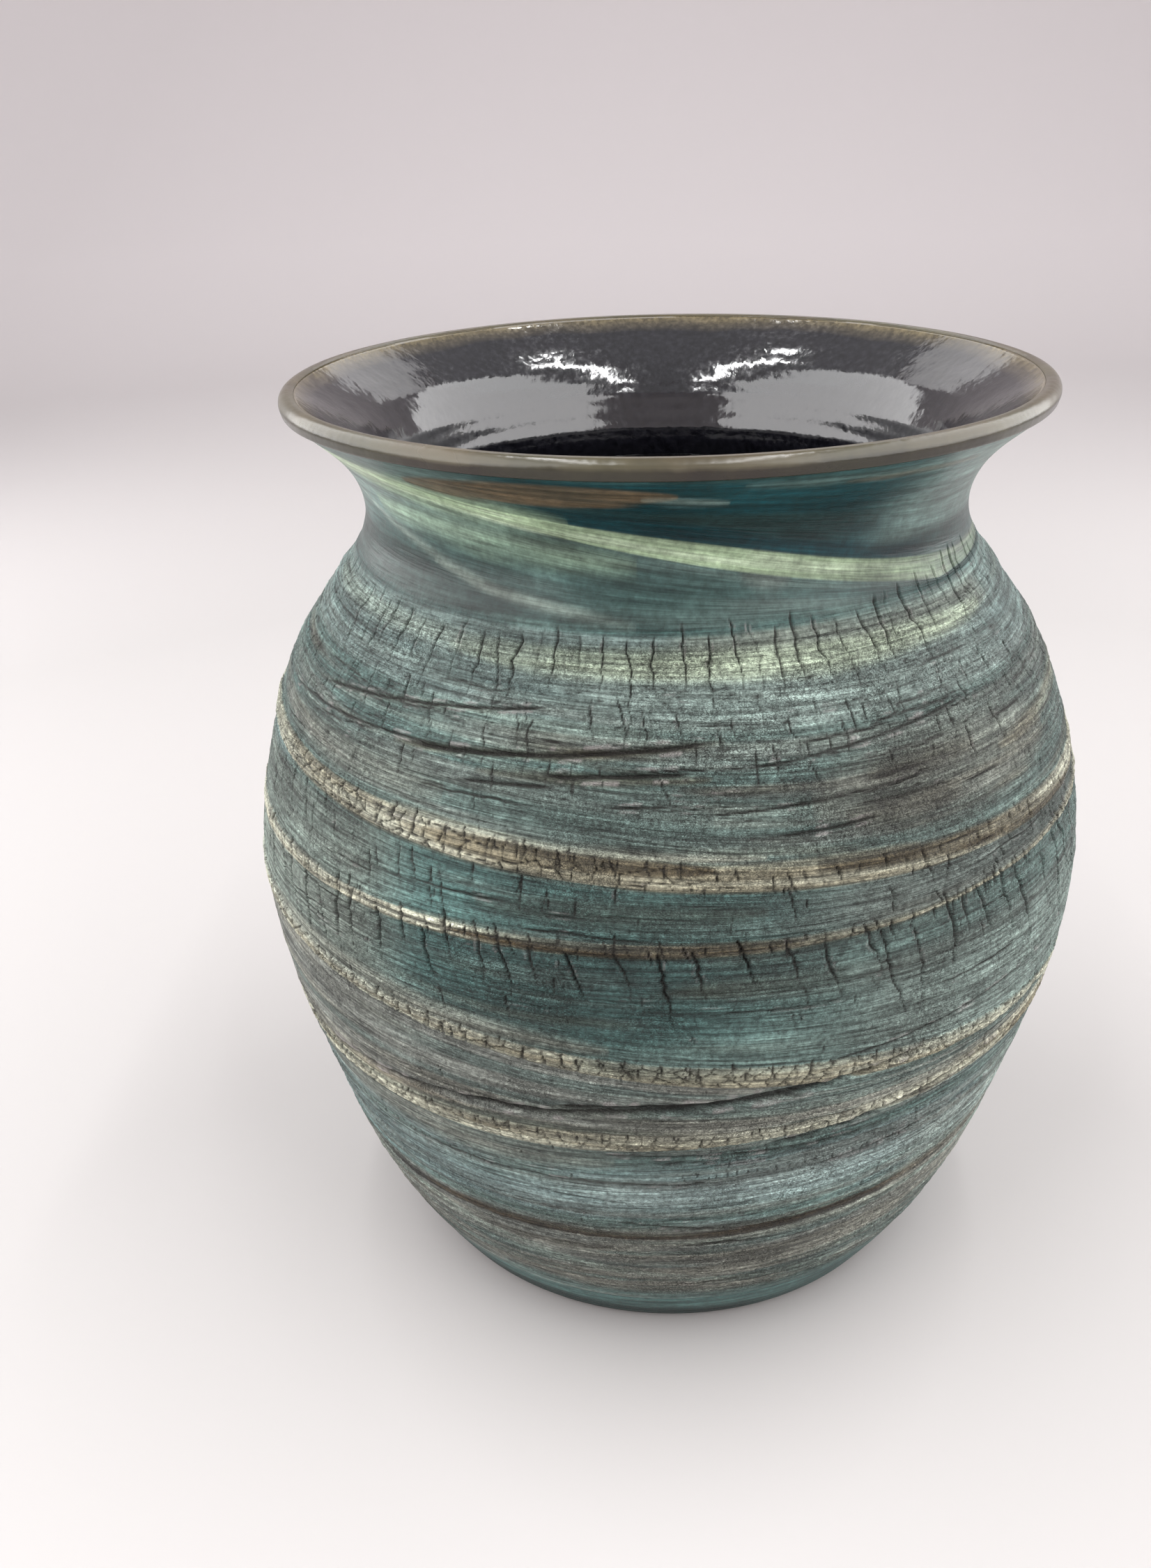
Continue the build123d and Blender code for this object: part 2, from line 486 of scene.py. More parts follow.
def seam_mask(number, soft=0.25):
    """1 inside a layer, by its number."""
    return belt(front_heights[number] + soft, front_heights[number + 1] - soft, soft)


cream = seam_mask(6) + seam_mask(8) + seam_mask(10) + seam_mask(4)
network = np.exp(-((cell_edges(31, 150, 2.3, 0.6) / 0.09) ** 2))
network_weight = np.clip(
    seam_mask(6) * (0.9 + 0.1 * noise(40, 12, 30))
    + seam_mask(10) * np.clip(0.75 - deg / 60, 0.15, 1)
    + 0.7 * seam_mask(4)
    + 0.5 * seam_mask(8),
    0,
    1,
)
dry = np.clip(0.55 + 0.7 * noise(41, 7, 26, z) + 0.5 * noise(42, 19, 12, z), 0.12, 1)
dry = np.clip(dry + 0.35 * arc(36, 100, 20), 0, 1) * belt(14, 125, 4, z)
fine_network = np.exp(-((cell_edges(32, 290, 1.3, 0.6) / 0.12) ** 2))
# grooves of the seam network and of the fine crackle, with painted shade along them
groove = np.maximum(groove, 0.45 * network * network_weight)
shade = np.maximum(shade, 0.9 * network * network_weight)
groove = np.maximum(groove, 0.12 * fine_network * dry)
shade = np.maximum(shade, 0.24 * fine_network * dry)

# ---- the shape of the skin, mm
below_neck = 1 - smoothstep(127, 133, z)
above_foot = smoothstep(8, 14, z)
shape = 0.16 * np.array([waves(5, 3)]) * smoothstep(5, 40, z) * (1 - smoothstep(120, 150, z))
shape = shape + 0.10 * noise(50, 9, 4.2) * above_foot * (0.35 + 0.65 * below_neck)
wheel_lines = 0.075 * noise(51, 16, 1.7) + 0.075 * noise(52, 30, 0.9) + 0.05 * noise(57, 44, 0.6)
shape += wheel_lines * above_foot * below_neck
shape += 0.030 * noise(53, 12, 1.6) * (1 - below_neck)
shape += (0.08 * noise(54, 130, 2.6, z) + 0.07 * noise(56, 320, 1.1, z)) * dry
ridge = np.exp(-(((z - 124.0 + 0.4 * np.array([waves(9)])) / 1.5) ** 2))
shape += 0.34 * ridge
shape += 0.22 * cream * (1 + 0.3 * noise(55, 40, 2.0))
shape += 0.14 * (seam_mask(6) * arc(-180, 0, 30) + seam_mask(10) * arc(-180, -10, 20))
fade_ends = smoothstep(foot_edge, foot_edge + 2, z) * (1 - smoothstep(149.5, 151, z))
shape = (shape + lips - groove) * fade_ends

# lips beside the cracks: lower roughness and a painted glint in the clay material
raised_glint = np.clip((lips - 0.07) / 0.08, 0, 1) * (1 - np.clip(2 * shade, 0, 1)) * (beads > 0.75)
out_r, out_z = outward(z)
final_radius = radius + shape * out_r
final_height = z + shape * out_z
skin = np.stack(
    [final_radius * np.sin(angle), -final_radius * np.cos(angle), final_height], axis=-1
)
along = np.roll(skin, -1, axis=1) - np.roll(skin, 1, axis=1)
upward = np.gradient(skin, axis=0)
skin_normals = np.cross(along, upward)
skin_normals /= np.linalg.norm(skin_normals, axis=-1, keepdims=True)

# ---- the colours of the clays
CLAY = {
    "collar": (0.003, 0.026, 0.032),
    "dark": (0.022, 0.046, 0.043),
    "teal": (0.040, 0.078, 0.072),
    "grey_teal": (0.082, 0.120, 0.108),
    "grey": (0.120, 0.130, 0.116),
    "buff_grey": (0.150, 0.150, 0.124),
    "blue": (0.120, 0.172, 0.168),
    "pale_blue": (0.195, 0.250, 0.240),
    "pale": (0.220, 0.270, 0.232),
    "green": (0.240, 0.315, 0.200),
    "crest": (0.330, 0.390, 0.290),
    "cream": (0.345, 0.350, 0.275),
    "tan": (0.160, 0.145, 0.098),
    "core": (0.038, 0.026, 0.011),
    "brown": (0.052, 0.038, 0.020),
    "rust": (0.100, 0.066, 0.036),
    "line": (0.018, 0.018, 0.016),
}
paint = np.zeros(z.shape + (3,)) + CLAY["teal"]


def wash(mask, colour):
    """Mixes a clay's colour in by a mask from 0 to 1."""
    global paint
    mask = np.clip(mask, 0, 1)[..., None]
    paint = paint * (1 - mask) + np.array(CLAY[colour]) * mask


ragged = 0.5 * noise(60, 26, 1.2) + 0.3 * noise(61, 60, 0.8) + 0.35 * noise(62, 11, 2.8)


def smear(colour, strength, start, end, start_z, end_z, half_height, soft=0.7, bow=0.0):
    """A lens-shaped smear of clay, drawn out along the wheel's turn."""
    middle, half = (start + end) / 2, (end - start) / 2
    share = turn_to(degrees, middle) / half
    line = start_z + (end_z - start_z) * (share + 1) / 2 + bow * (1 - share**2)
    swell = np.sqrt(np.clip(1 - share**2, 0, 1)) * half_height
    reach = np.abs(z - line + 0.5 * ragged) - swell
    mask = (1 - smoothstep(-soft, soft, reach)) * (np.abs(share) < 1)
    wash(strength * mask * (0.85 + 0.3 * ragged), colour)


def streaks(colour, strength, low, high, seed, step=1.6, cover=0.0, soft=1.5, cells=9):
    """Broken streaks of a clay within a layer."""
    pattern = noise(seed, cells, step) + 0.5 * noise(seed + 1, cells * 3, step * 0.6)
    mask = smoothstep(-cover - 0.25, -cover + 0.55, pattern)
    wash(strength * mask * belt(low, high, soft), colour)


def change(factor, start, end, low, high, soft=3.0):
    """Makes the clay paler or deeper between two angles and two heights."""
    global paint
    mask = arc(start, end, 12) * belt(low, high, soft, z)
    paint = paint * (1 + (factor - 1) * mask)[..., None]


# Where the clay is made paler or deeper: factor, angles, heights and, if it isn't 3, the soft edge.
# The 0.38 row at the foot is painted shadow where the vase stands on the floor.
CHANGES = [
    (1.50, 32, 90, 16, 34), (1.55, 20, 90, 37, 45), (1.50, 16, 90, 60, 68),
    (1.35, -90, -36, 18, 34), (1.40, -90, -24, 76, 94), (1.35, 42, 100, 70, 80),
    (0.75, 30, 90, 101, 123), (0.80, -14, 34, 103, 109), (0.80, -14, 30, 84, 98),
    # (0.38, -75, 14, -2, 3.5): painted shadow along the foot where it stands on the floor
    (1.20, -30, 12, 76, 83), (0.38, -75, 14, -2, 3.5), (1.30, -26, 24, 6, 10, 2.0),
    (0.60, -100, -46, 4, 13), (0.82, -40, 0, 46, 63), (0.45, -80, -28, 129, 134),
    (0.70, -30, -2, 121, 126), (0.60, -14, 30, 140, 144), (0.50, 40, 80, 130, 135),
    (0.78, -8, 34, 130, 135), (1.35, 14, 60, 145, 151), (1.25, -62, -10, 139, 143),
]


def colour_the_clays():
    """Lays the clays on from the foot up, then the smears that cross them."""
    h = front_heights
    wash(belt(0, h[1], 1.0), "dark")
    wash(belt(h[1], h[2], 1.0), "grey")
    wash(seam_mask(2), "line")
    wash(belt(h[3], h[4], 0.6), "grey_teal")
    wash(belt(h[5], h[6], 0.4), "grey")
    wash(belt(h[7], h[8], 0.4), "dark")
    wash(belt(h[9], h[10], 0.4), "teal")
    wash(belt(h[11], h[12], 1.0), "grey_teal")
    wash(belt(h[12], h[13], 1.2), "teal")
    wash(belt(h[14], 160, 0.8), "collar")
    # foot and lower wall
    streaks("teal", 0.8, 1, 11, 200, 2.2)
    streaks("buff_grey", 0.7, 12, 31, 202, 2.4, 0.1)
    streaks("teal", 0.55, 12, 30, 204, 1.3, -0.2, cells=14)
    streaks("line", 0.35, 14, 31, 206, 0.9, -0.35, cells=16)
    smear("pale", 0.55, -58, 4, 29.8, 20.0, 0.9)
    smear("pale", 0.40, -40, 20, 24.5, 17.5, 0.5)
    smear("teal", 0.8, -30, 60, 12.0, 11.0, 2.4, 2.0)
    smear("pale", 0.5, -6, 60, 30.6, 33.6, 0.7)
    smear("brown", 0.7, -40, 56, 30.2, 37.6, 1.3, 0.8)
    # the blue layer and what crosses it
    streaks("blue", 0.9, 36, 55, 210, 2.6, 0.2)
    streaks("grey", 0.6, 34, 54, 212, 1.7, -0.1)
    streaks("teal", 0.5, 34, 56, 214, 1.1, -0.25, cells=14)
    smear("pale_blue", 0.75, -22, 52, 42.5, 45.5, 3.4, 1.8)
    smear("blue", 0.7, -62, -8, 40, 41.5, 3.4, 2.0)
    smear("buff_grey", 0.55, -60, -6, 49, 52, 3.4, 2.0)
    smear("dark", 0.5, -30, 30, 52.4, 53.6, 1.2)
    # the buff seam
    wash(seam_mask(4), "tan")
    streaks("cream", 0.8, h[4], h[5], 220, 1.0, 0.2, 0.3, 18)
    smear("cream", 0.75, -20, 54, 55.6, 60.6, 1.1)
    smear("tan", 0.7, -60, 6, 55.4, 58.9, 1.2)
    smear("rust", 0.35, -44, -8, 57.4, 58.8, 0.9)
    # between the low seams
    streaks("buff_grey", 0.6, h[5], h[6], 222, 2.0, 0.1)
    streaks("teal", 0.5, h[5], h[6], 224, 1.4, -0.15)
    smear("grey_teal", 0.6, -20, 50, 62.0, 66.4, 1.6, 1.2)
    # the low cream seam
    wash(seam_mask(6) * (0.8 + 0.2 * noise(230, 20, 1.4)), "cream")
    streaks("tan", 0.75, h[6], h[7], 232, 1.2, -0.05, 0.3, 14)
    # the dark layer
    streaks("teal", 0.65, h[7], h[8], 240, 3.2, 0.0)
    streaks("brown", 0.35, h[7], h[8], 242, 3.0, -0.25)
    streaks("grey_teal", 0.35, h[7], h[8], 244, 1.3, -0.3, cells=13)
    wash(0.75 * arc(28, 150, 28) * belt(h[7], h[8], 1.0), "grey_teal")
    wash(0.5 * arc(-150, -48, 22) * belt(h[7], h[8], 1.0), "grey_teal")
    smear("grey_teal", 0.7, -10, 70, 72.6, 75.4, 3.4, 2.0)
    # the middle cream seam
    wash(seam_mask(8), "cream")
    for number in (6, 8):
        wash(0.35 * seam_mask(number) * arc(-16, 36, 24), "tan")
    streaks("tan", 0.6, h[8], h[9], 250, 0.9, 0.0, 0.3, 14)
    smear("core", 0.95, -26, 16, 89.9, 90.5, 0.9, 0.4)
    smear("core", 0.6, 22, 56, 91.6, 92.6, 0.7, 0.4)
    smear("brown", 0.7, 120, 175, 91, 90.4, 0.9, 0.4)
    # the teal layer above it
    streaks("dark", 0.6, h[9], h[10], 260, 2.4, -0.05)
    streaks("grey_teal", 0.5, h[9], h[10], 262, 1.2, -0.3, cells=13)
    smear("brown", 0.3, -22, 12, 94.4, 95.0, 1.6, 1.2)
    wash(0.6 * arc(30, 160, 25) * belt(h[9], h[10], 1.0), "grey")
    # the high cream seam
    wash(seam_mask(10), "cream")
    wash(0.45 * seam_mask(10) * arc(-16, 36, 24), "tan")
    streaks("tan", 0.7, h[10], h[11], 270, 1.1, 0.0, 0.3, 14)
    smear("tan", 0.9, -8, 32, 100.8, 99.6, 1.2, 0.6)
    smear("cream", 0.7, -36, 12, 104.2, 102.2, 0.7, 0.5)
    smear("core", 1.0, -30, 6, 102.2, 100.8, 1.5, 0.4)
    smear("core", 0.9, 18, 68, 99.9, 95.4, 1.3, 0.5)
    smear("tan", 0.7, -34, -10, 101.8, 101.0, 1.0, 0.5)
    smear("brown", 0.8, 95, 150, 96.6, 98.6, 1.4, 0.5)
    smear("brown", 0.6, -150, -112, 102.6, 102.4, 1.2, 0.5)
    # the shoulder
    streaks("teal", 0.65, 103, 122, 280, 2.6, 0.0)
    streaks("grey", 0.55, 103, 119, 282, 1.5, -0.1)
    streaks("pale", 0.30, 103, 123, 284, 1.0, -0.35, cells=13)
    streaks("brown", 0.55, 103, 116, 286, 1.5, -0.45, cells=13)
    smear("buff_grey", 0.7, 18, 62, 108.0, 107.0, 5.6, 2.4)
    smear("brown", 0.45, 22, 40, 105.6, 105.0, 1.6, 1.2)
    smear("brown", 0.45, 26, 44, 110.4, 110.0, 1.2, 1.2)
    smear("buff_grey", 0.6, -72, -28, 108.2, 107.4, 2.4, 1.6)
    smear("grey_teal", 0.7, -24, 6, 107, 107, 3.2, 2.0)
    smear("brown", 0.7, -38, 8, 112.0, 116.0, 0.6, 0.5)
    smear("brown", 0.65, -24, 6, 111.2, 112.2, 0.7, 0.5)
    smear("brown", 0.5, -60, -12, 114.4, 119.4, 0.5, 0.5)
    wash(0.45 * belt(118.5, 123, 1.5) * arc(-2, 46, 20), "pale")
    wash(0.35 * belt(118.5, 128, 1.5), "pale_blue")
    wash(0.35 * belt(124.5, 128.5, 0.8) * arc(6, 60, 8), "tan")
    smear("crest", 0.95, -34, 60, 124.6, 124.0, 1.7, 0.9)
    smear("pale", 0.8, -80, -16, 125.6, 124.8, 1.2, 0.8)
    smear("pale", 0.6, 70, 200, 124.6, 124.0, 0.8, 0.6)
    # the neck
    wash(belt(h[12], 160, 1.0), "teal")
    streaks("grey_teal", 0.6, 128, 140, 290, 2.2, 0.0)
    streaks("dark", 0.45, 128, 140, 292, 1.2, -0.3)
    smear("pale", 0.55, -66, -24, 140.8, 131.0, 0.6, 0.8)
    smear("pale", 0.85, -42, -4, 134.4, 128.9, 0.75, 0.6, -0.5)
    smear("dark", 0.8, -44, 12, 131.2, 127.8, 0.8, 0.8)
    smear("grey", 0.5, 12, 21, 136.4, 135.6, 3.2, 1.6)
    smear("green", 0.38, -56, -4, 141.2, 136.8, 2.1, 2.2)
    # the collar under the lip
    wash(belt(h[14] + 0.2, 160, 0.5) * arc(-28, 46, 10), "collar")
    streaks("dark", 0.6, 142, 152, 296, 1.8, 0.0)
    wash(0.7 * arc(46, 130, 16) * belt(137, 152, 2.0, z), "grey_teal")
    wash(0.6 * arc(-130, -30, 12) * belt(143, 152, 1.5, z), "grey_teal")
    smear("green", 0.75, -62, -14, 147.6, 142.6, 2.0, 1.6)
    smear("green", 0.45, -150, -50, 148.6, 146.4, 1.6, 1.4)
    smear("grey_teal", 0.6, 10, 70, 149.4, 148.6, 0.9, 0.8)
    smear("rust", 1.0, -39, 2, 147.4, 147.9, 1.9, 0.4)
    smear("rust", 0.5, 24, 50, 148.4, 147.8, 0.6, 0.5)
    smear("rust", 0.8, 130, 185, 147.6, 148.2, 1.2, 0.6)
    smear("pale", 0.4, -3, 9, 147.4, 146.4, 0.7, 0.6)
    wash(seam_mask(13, 0.3) * (0.95 - 0.5 * arc(60, 130, 20)), "green")
    streaks("crest", 0.45, h[13], h[14], 294, 0.9, 0.0, 0.3, 14)
    smear("green", 0.8, 150, 215, 143.5, 146.5, 1.4, 0.9)
    # where the mix ran greyer, and then paler or deeper, with painted shadow at the foot
    wash(0.4 * arc(-100, -42, 14) * belt(78, 99, 3, z), "buff_grey")
    wash(0.35 * arc(42, 110, 12) * belt(36, 48, 3, z), "buff_grey")
    wash(0.35 * arc(30, 100, 14) * belt(68, 84, 3, z), "grey")
    smear("buff_grey", 0.7, -64, -6, 78.0, 74.6, 1.8, 1.2)
    for row in CHANGES:
        change(*row)
    # smears that cross the layers where no single one was placed
    rng = np.random.default_rng(17)
    for _ in range(26):
        at = rng.uniform(60, 300)
        there = rng.uniform(20, 120)
        reach = rng.uniform(14, 34)
        climb = rng.uniform(-3, 3)
        colour = rng.choice(["pale", "brown", "tan", "blue", "dark", "grey_teal", "buff_grey"])
        half_height = rng.uniform(0.4, 1.8)
        smear(colour, 0.6, at - reach, at + reach, there, there + climb, half_height, 0.8)


colour_the_clays()
tone = 1.06 + 0.14 * (1 - smoothstep(60, 112, z)) + 0.16 * noise(300, 12, 0.75)
tone += 0.12 * noise(301, 40, 1.4) + 0.10 * noise(302, 90, 3.5, z)
paint *= tone[..., None]
wet = np.clip(smoothstep(126, 131, z) + (1 - smoothstep(9, 14, z)) * 0.5, 0, 1)


# ---- meshes
def new_mesh(name, points, quads, material, extras, normals):
    """A smooth mesh object from points in mm, faces and named values at each point."""
    mesh = bpy.data.meshes.new(name)
    mesh.vertices.add(len(points))
    mesh.vertices.foreach_set("co", (points * MM).astype(np.float32).ravel())
    corners = np.concatenate([face.ravel() for face in quads]).astype(np.int32)
    sizes = np.concatenate([np.full(len(face), face.shape[1]) for face in quads])
    mesh.loops.add(len(corners))
    mesh.loops.foreach_set("vertex_index", corners)
    mesh.polygons.add(len(sizes))
    starts = np.concatenate([[0], np.cumsum(sizes)[:-1]]).astype(np.int32)
    mesh.polygons.foreach_set("loop_start", starts)
    mesh.update(calc_edges=True)
    mesh.polygons.foreach_set("use_smooth", np.ones(len(sizes), dtype=bool))
    for label, values in extras.items():
        kind = "FLOAT_COLOR" if values.ndim == 2 else "FLOAT"
        layer = mesh.attributes.new(label, kind, "POINT")
        if kind == "FLOAT_COLOR":
            rgba = np.concatenate([values, np.ones((len(values), 1))], axis=1)
            layer.data.foreach_set("color", rgba.astype(np.float32).ravel())
        else:
            layer.data.foreach_set("value", values.astype(np.float32))
    if normals is not None:
        mesh.normals_split_custom_set_from_vertices(normals.tolist())
    piece = bpy.data.objects.new(name, mesh)
    bpy.context.scene.collection.objects.link(piece)
    mesh.materials.append(material)
    return piece


def grid_quads(rows, columns):
    """Faces of a grid that closes on itself both round the vase and the other way."""
    i = np.arange(rows)[:, None]
    j = np.arange(columns)[None, :]
    up, beside = (i + 1) % rows, (j + 1) % columns
    here = i * columns
    above = up * columns
    return np.stack([here + j, here + beside, above + beside, above + j], axis=-1).reshape(-1, 4)


def stand_for(piece, node):
    """Puts a piece on the vase's one body in place of its CAD node, which it hides."""
    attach(piece, "root")
    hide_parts(node)


def skin_piece(number, material):
    """One layer of the skin as a closed ring, with the cracks in its outer face."""
    name = layers[number][0]
    first, last = first_row[number], first_row[number + 1] + 1
    rows, count = slice(first, last), last - first
    back_rows = max(2, count // 12)
    share = np.linspace(1, 0, back_rows)[:, None]
    back_z = faces_up[number] + share * (faces_up[number + 1] - faces_up[number])
    out_r, out_z = outward(back_z)
    depth = np.interp(back_z, (140, lip_point(lip_radius)[1]), (clay_depth_low, clay_depth_lip))
    back_r, back_h = radius_at(back_z) - depth * out_r, back_z - depth * out_z
    back = np.stack([back_r * np.sin(angle), -back_r * np.cos(angle), back_h], axis=-1)
    points = np.concatenate([skin[rows].reshape(-1, 3), back.reshape(-1, 3)])
    inward = np.stack([-np.sin(angle), np.cos(angle), 0 * angle], axis=-1)
    inward = np.broadcast_to(inward, (back_rows, COLUMNS, 3))
    normals = np.concatenate([skin_normals[rows].reshape(-1, 3), inward.reshape(-1, 3)])
    blank = np.zeros(back_rows * COLUMNS)
    extras = {
        # crack carries the painted shade of the cracks to the material
        label: np.concatenate([values[rows].ravel(), blank + behind])
        for label, values, behind in (
            ("crack", shade, 0),
            # lips beside the cracks, which get a painted glint
            ("raised_glint", raised_glint, 0),
            ("dry", dry, 0),
            ("flow", flow, flow[first, 0]),
            ("wet", wet, 0),
        )
    }
    body = np.zeros((back_rows * COLUMNS, 3)) + CLAY["grey"]
    extras["clay"] = np.concatenate([paint[rows].reshape(-1, 3), body])
    quads = grid_quads(count + back_rows, COLUMNS)
    piece = new_mesh(name + "_clay", points, [quads], material, extras, normals)
    stand_for(piece, name)


def lathe(name, profile, columns, material, sway=None):
    """A profile in mm turned round the axis: it closes on itself, or ends in poles on the axis."""
    turn = np.arange(columns) / columns * TURN - math.pi
    points, quads, starts = [], [], []
    total = 0
    for number, (r, h) in enumerate(profile):
        is_ring = r > 1e-6
        starts.append((total, is_ring))
        if is_ring:
            reach = r + (0 * turn if sway is None else sway[number])
            ring = [reach * np.sin(turn), -reach * np.cos(turn), h + 0 * turn]
            points.append(np.stack(ring, axis=-1))
        else:
            points.append(np.array([[0.0, 0.0, h]]))
        total += len(points[-1])
    j = np.arange(columns)
    beside = (j + 1) % columns
    last = len(profile)
    closed = starts[0][1] and starts[-1][1]
    for i in range(last if closed else last - 1):
        (a, ring_a), (b, ring_b) = starts[i], starts[(i + 1) % last]
        if ring_a and ring_b:
            quads.append(np.stack([a + j, a + beside, b + beside, b + j], axis=-1))
        elif ring_b:
            quads.append(np.stack([a + 0 * j, b + beside, b + j], axis=-1))
        elif ring_a:
            quads.append(np.stack([a + j, a + beside, b + 0 * j], axis=-1))
    quads.sort(key=lambda face: face.shape[1])
    return new_mesh(name, np.concatenate(points), quads, material, {}, None)


# ---- materials
def new_material(name):
    """A material with its shader, a short way to add nodes to it and one to join up its shader."""
    material = bpy.data.materials.new(name)
    material.use_nodes = True
    nodes, links = material.node_tree.nodes, material.node_tree.links
    shader = nodes["Principled BSDF"]

    def add(kind, inputs=None, **settings):
        node = nodes.new("ShaderNode" + kind)
        for key, value in settings.items():
            setattr(node, key, value)
        for key, value in (inputs or {}).items():
            if isinstance(value, bpy.types.NodeSocket):
                links.new(value, node.inputs[key])
            else:
                node.inputs[key].default_value = value
        return node

    def connect(colour, rough=None, normal=None):
        sockets = {"Base Color": colour, "Roughness": rough, "Normal": normal}
        for label, value in sockets.items():
            if value is not None:
                links.new(value, shader.inputs[label])

    return material, shader, add, connect


def maths(add, operation, a, b):
    return add("Math", {0: a, 1: b}, operation=operation).outputs[0]


def scaled_range(add, value, low, high, from_low=0.0, from_high=1.0):
    inputs = {"Value": value, "From Min": from_low, "From Max": from_high}
    inputs.update({"To Min": low, "To Max": high})
    return add("MapRange", inputs).outputs["Result"]


def mix_colour(add, factor, a, b, blend="MIX"):
    node = add("Mix", {0: factor, 6: a, 7: b}, data_type="RGBA", blend_type=blend)
    return node.outputs[2]


def colour_ramp(add, value, stops):
    """A ramp of colours over a value from 0 to 1, from (place, colour) pairs."""
    node = add("ValToRGB", {0: value})
    elements = node.color_ramp.elements
    for element, (position, colour) in zip(elements, (stops[0], stops[-1])):
        element.position, element.color = position, colour
    for position, colour in stops[1:-1]:
        elements.new(position).color = colour
    return node.outputs["Color"]


def noise_texture(add, place, scale, detail, rough=0.5):
    inputs = {"Vector": place, "Scale": scale, "Detail": detail, "Roughness": rough}
    return add("TexNoise", inputs).outputs["Fac"]


def bumped(add, relief, distance, strength, under=None):
    """The normal of a relief, distance metres high, on top of another normal if one is given."""
    inputs = {"Height": relief, "Distance": distance, "Strength": strength}
    if under:
        inputs["Normal"] = under
    return add("Bump", inputs).outputs["Normal"]


def wandering_height(add, place, drift, sway):
    """The height in metres, moved up or down by as much as sway."""
    up = add("SeparateXYZ", {0: place}).outputs[2]
    return maths(add, "ADD", up, scaled_range(add, drift, -sway, sway, 0.3, 0.7))


def flow_place(add, parts, flow_up, around, up):
    """A texture place that follows the clay: around cells a metre along the wall, up cells a mm."""
    across = maths(add, "MULTIPLY", parts.outputs[0], around)
    deep = maths(add, "MULTIPLY", parts.outputs[1], around)
    upward = maths(add, "MULTIPLY", flow_up, up)
    return add("CombineXYZ", {0: across, 1: deep, 2: upward}).outputs[0]


def crackle(add, place, drift, sway, width):
    """Dark lines between small tiles: 1 on a line, 0 inside a tile."""
    swayed = add("VectorMath", {0: drift, 1: (sway, sway, sway), 2: place}, operation="MULTIPLY_ADD")
    cells = add("TexVoronoi", {"Vector": swayed.outputs[0]}, feature="DISTANCE_TO_EDGE")
    return scaled_range(add, cells.outputs["Distance"], 1.0, 0.0, 0.0, width)


